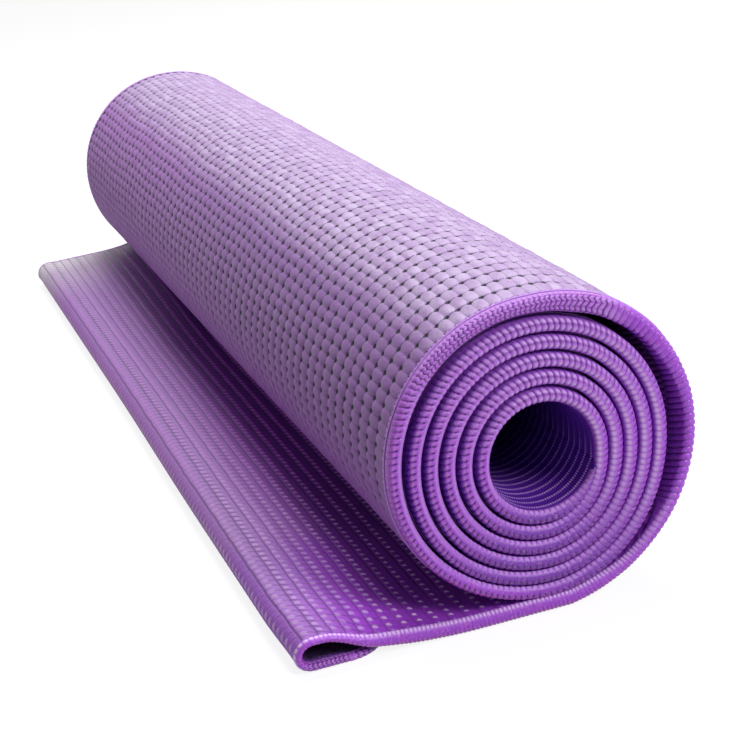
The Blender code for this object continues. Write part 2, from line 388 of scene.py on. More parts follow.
def baseMaterial():
    # rows and cells of pressed pillows, with a hole at each corner; sizes are in mm
    look = baseLook
    made, shader = newMaterial("base_foam_look", look["finish"])
    topLight, patterned = readMark("topLight"), readMark("patterned")
    sway = swayOf(*look["sway"])
    toRow = toWhole(plus(readMark("rowAt"), sway), look["rowPitch"])
    toCell = toWhole(plus(readMark("cellAt"), sway), look["cellPitch"])
    fromHole = fromMiddle(toRow, toCell, look["holeRadii"])
    # painted shade: the holes and the grooves between rows and cells are darkened
    hole, crossLine, rowLine = (times(spread(value, *look[key]), patterned) for value, key in (
        (fromHole, "holeRim"), (toCell, "crossLine"), (toRow, "rowLine")))
    grain = noise(look["grainScale"], 4.0)
    wrinkle = noise(look["wrinkleScale"], 5.0, (1, 0.6, 1))
    crown = mixed(spread(flatAxes()[1], *look["farBlend"]), look["crown"], look["farCrown"])
    # painted light and shade by topLight: deep on the side next to the floor, crown higher up, and pale on top
    body = mixed(spread(topLight, *look["topLit"][:2]), look["deep"], crown)
    crossShare, rowShare = look["lineShares"]
    body = painted(body, look, (
        (spread(topLight, *look["topLit"][1:]), "pale"),
        (plus(spread(wrinkle, *look["wrinkleStreak"]), spread(grain, *look["grainStreak"])), "deep"),
        (spread(readMark("tone"), *look["toned"]), "crown"),
        (times(rowLine, rowShare), "line"),
        (times(crossLine, crossShare), "line"),
        (hole, "hole"),
        (readMark("tuckedShade"), "tuckedShade")))
    dressed(shader, body, plus(wrinkle, times(grain, 0.3)), look["bump"])
    return made


practiceLook = {
    "ground": (0.24, 0.038, 0.44, 1),
    # flank and wornAndLit lighten the flap by the fold: partly wear, partly painted light where the flap lies out of
    # the roll's shadow
    "flank": (0.4, 0.12, 0.56, 1),
    "wornAndLit": (0.43, 0.24, 0.57, 1),
    "front": (0.35, 0.055, 0.61, 1),
    # farSheen and farEdge are painted reflection and light from the bright backdrop on the flap's far edge
    "farSheen": (0.64, 0.56, 0.66, 1),
    "farEdge": (0.88, 0.85, 0.86, 1),
    # crest is a painted highlight along the rows' ridges
    "crest": (0.56, 0.12, 0.76, 1),
    # deep is painted shade in the grooves between rows and cells, and in the furrows between ridges
    "deep": (0.04, 0.007, 0.1, 1),
    # bead and beadGlint are painted highlights on the beads, whiter toward the front edge
    "bead": (0.85, 0.29, 0.95, 1),
    "beadGlint": (0.92, 0.68, 1.0, 1),
    # boreDot is a painted highlight on the bore's dotted lines, and boreEnd is painted shade deep in the bore
    "bore": (0.105, 0.016, 0.35, 1),
    "boreDot": (0.74, 0.43, 0.98, 1),
    "boreEnd": (0.012, 0.002, 0.05, 1),
    "ridge": (0.47, 0.14, 0.72, 1),
    "finish": {"Roughness": 0.5, "Specular IOR Level": 0.26, "Coat Weight": 0.04, "Coat Roughness": 0.4},
    "sway": (110.0, 0.12),
    # in shares of a row or a cell, and a line goes from its rim to its full depth
    "beadAt": 0.3, "beadRadii": (0.165, 0.21), "beadRim": (1.2, 0.5), "beadSlant": 0.1, "cellShift": 0.35,
    "crestLine": (0.2, 0.03), "valleyLine": (0.12, 0.02), "fineRow": (0.1, 0.02), "fineCell": (0.13, 0.03),
    "fineShares": (0.42, 0.36),  # of the fine rows and the fine cells
    "beadGrowth": 0.45,  # beads are larger beside the fold
    "wearScale": 330.0, "beadWear": (0.36, 0.58, 0.55, 1.0),
    # the whole of a share, and how much of it the worn and lit zone or the fold takes off
    "crestWear": (0.85, 0.7), "valleyWear": (0.92, 0.55), "beadFold": (1.0, 0.7),
    # across the mat, in metres
    "valleyFront": (-0.29, -0.262, 0.2, 1.0), "farEdgeFrom": (0.268, 0.3),
    "boreDeep": (0.292, 0.205, 0.0, 0.9),
    "dotPitch": 1.15 * mm,  # along the mat
    "dotEdge": (-0.6, 0.3), "ringPitch": 5.0 * mm, "ringEdge": (0.3, 0.75), "frontFrom": (0.8, 1.0),
    "grainScale": 650.0, "grainShare": 0.25, "bump": (0.5, 0.0011),
}


def boreColour(alongMat, acrossMat, onLine):
    # dotted lines run round the bore, their dots painted highlights, and painted shade darkens it from either end
    # inward
    look = practiceLook
    dots = spread(waveOf(alongMat, look["dotPitch"]), *look["dotEdge"])
    return painted(look["bore"], look, (
        (times(dots, onLine), "boreDot"),
        (spread(maths("ABSOLUTE", acrossMat), *look["boreDeep"]), "boreEnd")))


def practiceMaterial():
    # rows of stitched beads on the flap, ridges at the lap's rim and dotted lines in the bore
    look = practiceLook
    made, shader = newMaterial("practice_foam_look", look["finish"])
    beaded, wornAndLit, fold, cellAt, pearly = (
        readMark(mark) for mark in ("beaded", "wornAndLit", "fold", "cellAt", "pearly"))

    def faded(key, mark):
        whole, share = look[key]
        return minus(whole, times(mark, share))

    def lineOn(value, key, where):
        return times(spread(value, *look[key]), where)

    rowAt = plus(readMark("rowAt"), swayOf(*look["sway"]))
    alongMat, acrossMat = flatAxes()
    slant = times(minus(maths("FRACT", cellAt), 0.5), look["beadSlant"])
    fromCrest = toWhole(minus(plus(rowAt, slant), look["beadAt"]))
    toRow, toCell = toWhole(rowAt), toWhole(plus(cellAt, times(rowAt, look["cellShift"])))
    fromBead = fromMiddle(fromCrest, toWhole(plus(cellAt, 0.5)), look["beadRadii"])
    fromBead = over(fromBead, plus(1.0, times(fold, look["beadGrowth"])))
    bead = lineOn(fromBead, "beadRim", beaded)
    bead = lineOn(noise(look["wearScale"], 2.0), "beadWear", bead)
    beyond = times(minus(1.0, fold), beaded)
    # painted highlight along the crest of each row
    crest = times(lineOn(fromCrest, "crestLine", beyond), minus(1.0, pearly))
    # painted shade in the grooves between rows
    valley = lineOn(acrossMat, "valleyFront", lineOn(toRow, "valleyLine", beyond))  # fainter at the front
    fineRow = times(lineOn(toRow, "fineRow", fold), beaded)
    fineCell = times(lineOn(toCell, "fineCell", fold), beaded)
    grain = noise(look["grainScale"], 4.0)

    # painted reflection and back light: the flap's far edge is painted grey-lilac, up to near white
    sheenColour = mixed(spread(acrossMat, *look["farEdgeFrom"]), look["farSheen"], look["farEdge"])
    # lighter by the fold and in the worn zone: partly wear, partly painted light out of the roll's shadow
    ground = painted(look["ground"], look, (
        (fold, "flank"),
        (spread(pearly, *look["frontFrom"]), "front"),
        (wornAndLit, "wornAndLit")))
    ground = painted(mixed(readMark("farSheen"), ground, sheenColour), look, (
        (times(grain, look["grainShare"]), "deep"),
        (readMark("ridge"), "ridge"),
        (times(crest, faded("crestWear", wornAndLit)), "crest")))
    rowShare, cellShare = look["fineShares"]
    fine = higher(times(fineRow, rowShare), times(fineCell, cellShare))
    dark = higher(times(valley, faded("valleyWear", wornAndLit)), fine)
    # painted shade: the grooves and the furrows are darkened toward deep
    body = mixed(higher(dark, readMark("groove")), ground, look["deep"])
    # painted highlights: the beads' glints, magenta further back and whiter toward the front edge
    beadColour = mixed(pearly, look["bead"], look["beadGlint"])
    body = mixed(times(bead, faded("beadFold", fold)), body, beadColour)
    onLine = spread(readMark("ringLine"), *look["ringEdge"])
    body = mixed(readMark("bore"), body, boreColour(alongMat, acrossMat, onLine))
    height = minus(times(grain, 0.35), times(fineCell, 0.8))
    dressed(shader, body, minus(height, times(fineRow, 0.9)), look["bump"])
    return made


threadLook = {
    "rib": (0.385, 0.068, 0.68, 1),
    # slit is painted shade in the slits between ribs
    "slit": (0.045, 0.007, 0.125, 1),
    "warm": (0.48, 0.075, 0.6, 1),
    # pale is a painted highlight on the ribs, beads and stitches
    "pale": (0.86, 0.59, 0.99, 1),
    "ground": (0.24, 0.045, 0.45, 1),
    # recess is painted shade on the rings' outer sides in the inner turns and on stitches under the flap, and also
    # the colour of random dark flecks
    "recess": (0.12, 0.02, 0.33, 1),
    "fleck": (0.66, 0.37, 0.88, 1),
    "finish": {"Roughness": 0.32, "Specular IOR Level": 0.45},
    "coreFinish": {"Roughness": 0.9, "Specular IOR Level": 0.05},
    "patchScale": 260.0, "patch": (0.5, 0.66, 0.0, 0.3), "boreLine": (0.17, 0.09, 0.0, 0.7),
    "fleckScale": 1050.0, "paleFleck": (0.54, 0.76, 0.0, 0.42), "darkFleck": (0.46, 0.28, 0.0, 0.5),
    "paleShare": 0.85, "slitEdge": (0.15, 0.85), "strandPitch": 0.42 * mm, "fuzzScale": 1400.0,
    "bump": (0.25, 0.0003),
}


def threadMaterial(name, finish):
    look = threadLook
    made, shader = newMaterial(name, look[finish])
    alongMat, acrossMat = flatAxes()
    patch = spread(noise(look["patchScale"], 2.0), *look["patch"])
    flecks = noise(look["fleckScale"], 2.0)
    # painted shade by the recessed mark; the flecks are the thread's own varied colour
    rib = painted(look["rib"], look, (
        (maths("ADD", readMark("warm"), patch, clamp=True), "warm"),
        (readMark("ground"), "ground"),
        (readMark("recessed"), "recess"),
        (spread(flecks, *look["paleFleck"]), "fleck"),
        (spread(flecks, *look["darkFleck"]), "recess")))
    # the dotted lines of the bore go on over the inner end
    toLine = toWhole(over(acrossMat, practiceLook["ringPitch"]))
    inBore = boreColour(alongMat, acrossMat, spread(toLine, *look["boreLine"]))
    body = painted(mixed(readMark("inBore"), rib, inBore), look, (
        # painted highlights by the pale mark
        (times(readMark("pale"), look["paleShare"]), "pale"),
        # painted shade in the slits, by the groove mark
        (spread(readMark("groove"), *look["slitEdge"]), "slit")))
    strands = waveOf(alongMat, look["strandPitch"])
    fuzz = plus(times(strands, 0.2), noise(look["fuzzScale"], 3.0))
    dressed(shader, body, fuzz, look["bump"])
    return made


yarnLook = {
    "under": (0.42, 0.38, 0.46, 1),
    "upper": (0.8, 0.79, 0.82, 1),
    "finish": {"Roughness": 0.85, "Specular IOR Level": 0.3},
    "pitch": 2.0 * mm, "bump": (0.5, 0.0003),
}


def yarnMaterial():
    made, shader = newMaterial("scrim_yarn_look", yarnLook["finish"])
    weave = higher(*(waveOf(axis, yarnLook["pitch"]) for axis in flatAxes()))
    body = mixed(spread(weave, -0.2, 0.8), yarnLook["under"], yarnLook["upper"])
    dressed(shader, body, weave, yarnLook["bump"])
    return made


baseFoamLook = baseMaterial()
practiceFoamLook = practiceMaterial()
bindingLook = threadMaterial("binding_thread_look", "finish")
coreBindingLook = threadMaterial("core_thread_look", "coreFinish")
scrimLook = yarnMaterial()
print("materials done")

band = {
    "noseDepth": 2.6 * mm, "nosePoints": 18, "noseBend": 0.94,
    "legPoints": ((-0.3, -0.22, -0.12), (1.2, 1.4)),  # across, before and after the nose
    "legSpare": 0.3 * mm, "legThickness": 0.65 * mm, "legStep": 0.9 * mm,
    "stepFrom": 4.5 * mm,  # only a leg longer than this has its step
    "legSunk": 0.2 * mm, "wallSpare": 0.1 * mm, "noseWall": 1.9 * mm,
    # by turn, in mm
    "practiceLegs": ((0, 3.0), (0.12, 3.0), (0.2, 13), (0.4, 13), (0.5, 3.2), (6.2, 3.2)),
    "baseLegs": ((0, 3.5), (0.36, 4.0), (0.45, 5.2), (0.62, 5.2), (0.74, 5.8), (1.0, 8), (6.2, 8)),
    "pitches": ((0, 1.75), (0.09, 1.75), (0.15, 2.8), (0.4, 2.8), (0.47, 2.1), (0.61, 2.1), (0.67, 2.5), (6.2, 2.5)),
    "rimSwell": ((0.26, 0), (0.34, 1.5), (0.4, 2.3), (0.455, 1.9), (0.5, 0.6), (0.54, 0)),
    "endPitch": 2.45 * mm, "pitchSpread": (0.93, 1.07), "firmness": (0.75, 1.2),
    "ribShares": (0.0, 0.1, 0.3, 0.7, 0.9),
    "slitDepths": {"left": 0.82, "bottom": 0.34, "top": 0.9, "right": 0.4, "rope": 0.62, "knit": 0.5},  # mm
    "directions": {"left": 165, "top": 80, "right": 5, "bottom": -85},  # degrees
    "beadRise": 0.24 * mm, "middleSunk": 0.28 * mm, "ropeSlant": 0.36,
    "slantReach": 30 * mm, "knitTurns": (0.4, 0.44, 0.61, 0.66), "knitHem": (6 * mm, 1 * mm),
    "knitRows": 17 / 3,  # each is three steps of the nose wide
    # farPaleTurns is where the rear band is painted pale, as painted light beside the far edge
    "flatTurns": (0.13, 0.08), "innerTurns": (0.92, 1.06), "farPaleTurns": (0.09, 0.01),
    "boreTurns": 0.6, "joinRun": 2.5 * mm, "seed": 7,
}

foamEdge = {
    "inset": 2.0 * mm, "pinch": 0.85 * mm, "taper": 0.9 * mm,
    "overlap": 0.3 * mm, "squeezeFrom": 250 * mm, "backColumns": 26,
    "endSteps": (2.0 * mm, 3.2 * mm, 5.0 * mm, 6.6 * mm),
    "smoothRun": 2.5 * mm,  # the pattern fades out beside a binding
    "lapSmoothRun": 5 * mm,  # and further where the lap lies settled
    "lapSmoothTurns": (0.62, 0.74),
}


def squeezedAcross(s, y):
    # the columns close up beside the rounded corners
    reach = halfWidth - foamEdge["inset"]
    limit = halfAt(s, foamEdge["inset"])
    start = foamEdge["squeezeFrom"]
    beyond = np.maximum(np.abs(y) - start, 0) / (reach - start)
    return np.sign(y) * (np.minimum(np.abs(y), start) + beyond * (limit - start))


def columnsFor(cellPitch, shares):
    # places across the mat, on the cells' corners and crowns, with its two edges
    reach = halfWidth - foamEdge["inset"]
    count = int(reach / cellPitch) + 1
    across = [(cell + share) * cellPitch for cell in range(-count, count) for share in shares]
    inside = [y for y in across if abs(y) < reach - 0.5 * mm]
    return np.array([-reach] + inside + [reach])


def rowStations(first, last, pitchOf, shares):
    # stations on grooves and crests, and the row that each lies in
    places, rows, start, row = [], [], first, 0
    while start < last:
        pitch = pitchOf(start)
        places += [start + share * pitch for share in shares]
        rows += [row + share for share in shares]
        start, row = start + pitch, row + 1
    return places, rows, start


def withEnds(places):
    ends = list(foamEdge["endSteps"])
    return np.array(ends + places + [matLength - end for end in reversed(ends)])


def cellsOf(y, pitch):
    # each place's share of its cell, with the mat's two edges at a cell's middle
    cell = (y / pitch) % 1.0
    cell[0], cell[-1] = 0.5, 0.5
    return cell


def ropeShare(turn):
    return between(turn, *mat["ropeTurns"])


def foamLayer(name, side, stations, columns, relief, marks, innerFace, material):
    s, y0 = np.meshgrid(stations, columns)
    if side < 0:  # the pressed pattern wanders a little, as on any roll of foam
        wander = base["wander"] * ramp(halfWidth - np.abs(y0), *base["wanderFrom"])
        (a, b, c), (d, e) = base["alongWaves"], base["acrossWaves"]
        s = s + wander * (np.sin(y0 / a) + np.sin(y0 / b + s / c)) * ramp(s, *base["wanderAlong"])
        y0 = y0 + wander * (np.sin(s / d + 1.1) + 0.7 * np.sin(s / e))
    y = squeezedAcross(s, y0)
    if side > 0:  # the ridges at the lap's near rim slant with the rope's ribs
        reach = np.minimum(halfWidth - np.abs(y), band["slantReach"]) * (y < 0)
        s = s - band["ropeSlant"] * reach * ropeShare(turnAt(s))
    turn = turnAt(s)
    legs = byTurn(band["practiceLegs"] if side > 0 else band["baseLegs"], s) * mm
    fromEdge = np.minimum(halfAt(s, 0) - np.abs(y), np.minimum(s, matLength - s))
    if side < 0:
        settled = ramp(turn, *foamEdge["lapSmoothTurns"]) * (turn < 1)
        relief = relief * ease((fromEdge - legs) / (foamEdge["smoothRun"] + foamEdge["lapSmoothRun"] * settled))
    swell = ease((fromEdge - legs + foamEdge["overlap"]) / foamEdge["taper"])
    n = side * (halfThick - foamEdge["pinch"] + (foamEdge["pinch"] - relief) * swell)
    backColumns = np.linspace(1, -1, foamEdge["backColumns"])[:, None]
    backS = np.broadcast_to(stations, (len(backColumns), len(stations)))
    backY = backColumns * halfAt(backS, foamEdge["inset"])
    s, y = np.vstack([s, backS]), np.vstack([y, backY])
    n = np.vstack([n, np.full(backS.shape, innerFace)])
    marks = {key: np.vstack([value + 0 * y0, np.zeros(backS.shape)]) for key, value in marks.items()}
    piece = wrappedTube(name, s, y, n, marks, material)
    return piece


scrim = {"top": 0.3 * mm, "bottom": -0.1 * mm, "gap": 0.25 * mm, "endInset": 2.2 * mm, "step": 4 * mm, "columns": 14}

base = {
    "rowPitch": 5.0 * mm, "rowShares": (0.0, 0.12, 0.34, 0.66, 0.88),
    "cellPitch": 9.6 * mm, "cellShares": (0.0, 0.08, 0.3, 0.7, 0.92), "rowDip": 0.28 * mm,
    "cellDip": 0.5 * mm, "proud": 0.15 * mm, "holeDepth": 1.1 * mm,
    "holeSize": (0.2, 0.11), "wander": 0.32 * mm, "wanderFrom": (8 * mm, 33 * mm),
    "wanderAlong": (9 * mm, 18 * mm), "alongWaves": (31 * mm, 13 * mm, 40 * mm),
    "acrossWaves": (23 * mm, 9.7 * mm), "unevenness": 0.14 * mm,
    # painted shade: how far the base face is darkened under the flap and inside the roll
    "tuckedShade": (0.92, 0.7),  # under the flap, and inside the roll
    # painted light: how pale a side is painted, by how far it faces up
    "topLight": ((-0.5, 0), (0.72, 0.4), (0.975, 1)),  # by how far a side faces up
    "patternEnd": 4 * mm, "hiddenStep": 7.0 * mm, "tailRun": 8 * mm, "seed": 3,
}


def buildBase():
    rowPlaces, rows, reached = rowStations(8 * mm, lapEnd + base["patternEnd"], lambda s: base["rowPitch"],
                                           base["rowShares"])
    plain = np.arange(reached, matLength - base["tailRun"], base["hiddenStep"])
    stations = withEnds(rowPlaces + list(plain))
    ends = len(foamEdge["endSteps"])
    rows = np.array([-1.0] * ends + rows + [-1.0] * (len(plain) + ends))
    columns = columnsFor(base["cellPitch"], base["cellShares"])
    row, y0 = np.meshgrid(rows, columns)
    u, cell = row % 1.0, cellsOf(y0, base["cellPitch"])
    toRow, toCell = np.minimum(u, 1 - u), np.minimum(cell, 1 - cell)
    rowDip = 1 - np.abs(np.sin(math.pi * u ** 0.9)) ** 0.55
    cellDip = 1 - np.abs(np.sin(math.pi * cell)) ** 0.4
    rowHole, cellHole = base["holeSize"]
    hole = spot(toRow, 0, rowHole) * spot(toCell, 0, cellHole)
    vary = np.random.default_rng(base["seed"]).uniform(-1, 1, (400, 140))
    own = vary[np.maximum(np.floor(row), 0).astype(int) % 400, np.floor(y0 / base["cellPitch"]).astype(int) + 70]
    own = own * ease(toRow / 0.3) * ease(toCell / 0.12)
    patterned = row >= 0
    relief = base["rowDip"] * rowDip + base["cellDip"] * cellDip - base["proud"] \
        + base["holeDepth"] * hole + base["unevenness"] * own
    # painted light and shade: the upper side is painted paler, and the side next to the floor deeper and darker
    turn = turnAt(stations)
    raised = np.where(turn > 0, np.sin(bottomAngle + 2 * math.pi * turn), -1)
    underFlap, inRoll = base["tuckedShade"]
    marks = {
        "rowAt": row,
        "cellAt": y0 / base["cellPitch"],
        "patterned": patterned,
        "tone": 0.5 + 0.5 * own * patterned,
        "tuckedShade": np.where(turn < 0.001, underFlap, inRoll * (turn > 1.01)),
        "topLight": np.interp(raised, *zip(*base["topLight"])),
    }
    return foamLayer("base_layer", -1, stations, columns, relief * patterned, marks,
                     scrim["bottom"] - scrim["gap"], baseFoamLook)


practice = {
    "beadPitch": 5.0 * mm, "beadShares": (0.0, 0.25, 0.5, 0.75), "rowPitches": (5.4 * mm, 6.7 * mm),
    "pitchGrows": (15 * mm, 45 * mm),  # past the fold, as are the next four
    # wornAndLit is the zone by the fold that is partly worn and partly painted as lit
    "foldForm": (50 * mm, 15 * mm), "wornAndLit": (59 * mm, 13 * mm),
    "wornAndLitFrom": (-9 * mm, 2 * mm), "sheenNarrows": (16 * mm, 50 * mm), "wornAndLitSlant": 0.1,
    "sheenFrom": (195 * mm, 265 * mm),  # across the mat, at the fold and further on
    "sheenFull": 296 * mm,
    "sheenRun": (66 * mm, 106 * mm),  # along the mat, further in and at the far edge
    "sheenEdge": (268 * mm, 298 * mm), "sheenFade": 30 * mm, "sheenShare": 0.85,
    "pearlyFrom": (60 * mm, 250 * mm), "rowShares": (0.0, 0.12, 0.3, 0.52, 0.8),
    "grooveDepth": 0.62 * mm, "beadRise": 0.6 * mm, "cellDepth": 0.62 * mm,
    "level": 0.25 * mm, "ridgeTurns": (0.14, 0.44), "ridgePitch": 2.9 * mm,
    "ridgeShares": (0.0, 0.3, 0.7), "ridgeDepth": 0.8 * mm,
    "ridgeReach": (60 * mm, 15 * mm), "ridgePaint": (34 * mm, 8 * mm),
    "hiddenStep": 7.0 * mm, "boreStep": 3.2 * mm, "boreLead": 30 * mm,
    "boreFrom": (-10 * mm, 5 * mm), "ringRise": 0.5 * mm, "tailRun": 8 * mm,
}


def buildPractice():
    form = practice

    def rowPitch(s):
        return within(form["rowPitches"], ramp(s - foldEnd, *form["pitchGrows"]))

    ridgesFrom, ridgesTo = (lengthAt(turn) for turn in form["ridgeTurns"])
    beadPlaces, beadRows, reached = rowStations(8 * mm, ridgesFrom, rowPitch, form["rowShares"])
    ridgePlaces, ridgeRows, ridgeEnd = rowStations(reached, ridgesTo, lambda s: form["ridgePitch"],
                                                   form["ridgeShares"])
    plain = list(np.arange(ridgeEnd, boreStart - form["boreLead"], form["hiddenStep"]))
    nextPlace = plain[-1] + form["hiddenStep"]
    plain += list(np.arange(nextPlace, matLength - form["tailRun"], form["boreStep"]))
    stations = withEnds(beadPlaces + ridgePlaces + plain)
    # zone 1 has beads, zone 2 has ridges, and the rest is plain
    ends = len(foamEdge["endSteps"])
    zone = np.array([0] * ends + [1] * len(beadPlaces) + [2] * len(ridgePlaces) + [0] * (len(plain) + ends))
    rows = np.array([0.5] * ends + beadRows + ridgeRows + [0.5] * (len(plain) + ends))
    columns = columnsFor(form["beadPitch"], form["beadShares"])
    s, y0 = np.meshgrid(stations, columns)
    u, cell = rows % 1.0 + 0 * y0, cellsOf(y0, form["beadPitch"])
    toRow, toCell = np.minimum(u, 1 - u), np.minimum(cell, 1 - cell)
    along, fromEdge = s - foldEnd, halfWidth - np.abs(y0)

    nearFold = ramp(along, *form["foldForm"])
    groove = spot(toRow, 0, 0.09)
    bead = np.exp(-((u - 0.27) / 0.15) ** 2 - ((cell - 0.5) / 0.32) ** 4)
    beaded = form["grooveDepth"] * groove * (0.35 + 0.65 * nearFold) \
        + form["cellDepth"] * spot(toCell, 0, 0.12) * (1 - groove) * (0.15 + 0.85 * nearFold) \
        - form["beadRise"] * bead * (1 - 0.5 * nearFold) + form["level"]
    furrow = 1 - np.abs(np.sin(math.pi * u)) ** 0.8
    ridged = form["ridgeDepth"] * furrow * (ramp(fromEdge, *form["ridgeReach"]) * 0.8 + 0.2)
    inBore = ramp(s - boreStart, *form["boreFrom"])
    ringLine = spot(toCell, 0, 0.16) * inBore
    relief = np.select([zone == 1, zone == 2], [beaded, ridged], -form["ringRise"] * ringLine)

    sideUp = np.sin(bottomAngle + 2 * math.pi * turnAt(s))
    # painted reflection and back light at the flap's far edge: where it starts across the mat and how far it runs
    # along
    sheenFrom = within(form["sheenFrom"], ramp(along, *form["sheenNarrows"]))
    sheenEnd = within(form["sheenRun"], ramp(y0, *form["sheenEdge"]))
    marks = {
        "rowAt": rows,
        "cellAt": y0 / form["beadPitch"],
        "beaded": zone == 1,
        "fold": nearFold,
        "pearly": ramp(-y0, *form["pearlyFrom"]),
        # painted shade in the furrows between the ridges
        "groove": (zone == 2) * 0.75 * furrow,
        "ridge": (zone == 2) * ramp(fromEdge, *form["ridgePaint"]),
        "wornAndLit": ramp(along - form["wornAndLitSlant"] * y0, *form["wornAndLit"]) * ramp(along, *form["wornAndLitFrom"]),
        "farSheen": form["sheenShare"] * ramp(y0, sheenFrom, form["sheenFull"])
        * ease((sheenEnd - along) / form["sheenFade"]),
        "bore": inBore,
        # painted light: the dots are painted brighter on the bore's lower wall
        "ringLine": ringLine * (0.42 + 0.58 * ramp(sideUp, 0.3, -0.5)),
    }
    return foamLayer("practice_layer", 1, stations, columns, relief, marks,
                     scrim["top"] + scrim["gap"], practiceFoamLook)


practiceLayer = buildPractice()
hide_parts("practice_foam")

baseLayer = buildBase()
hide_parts("base_foam")


def buildScrim():
    inset = scrim["endInset"]
    stations = np.concatenate([np.arange(inset, matLength - inset, scrim["step"]), [matLength - inset]])
    columns = np.linspace(-1, 1, scrim["columns"]) * (halfWidth - foamEdge["inset"])
    s, y0 = np.meshgrid(stations, columns)
    y = squeezedAcross(s, y0)
    s = np.vstack([s, s])
    n = np.vstack([scrim["top"] + 0 * y, scrim["bottom"] + 0 * y])
    y = np.vstack([y, y[::-1]])
    piece = wrappedTube("woven_mesh", s, y, n, {}, scrimLook)
    return piece


scrimPiece = buildScrim()
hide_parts("woven_scrim")
print("layers done")


def ribStations(first, last, pitchOf):
    # walks along the edge rib by rib, and no two ribs are alike
    vary = np.random.default_rng(band["seed"])
    places, shares, sizes, start = [], [], [], first
    while start < last:
        pitch = pitchOf(start) * vary.uniform(*band["pitchSpread"])
        firm = vary.uniform(*band["firmness"])
        for share in band["ribShares"]:
            if start + share * pitch < last:
                places.append(start + share * pitch)
                shares.append(share)
                sizes.append(firm)
        start += pitch
    return np.array(places), np.array(shares), np.array(sizes)


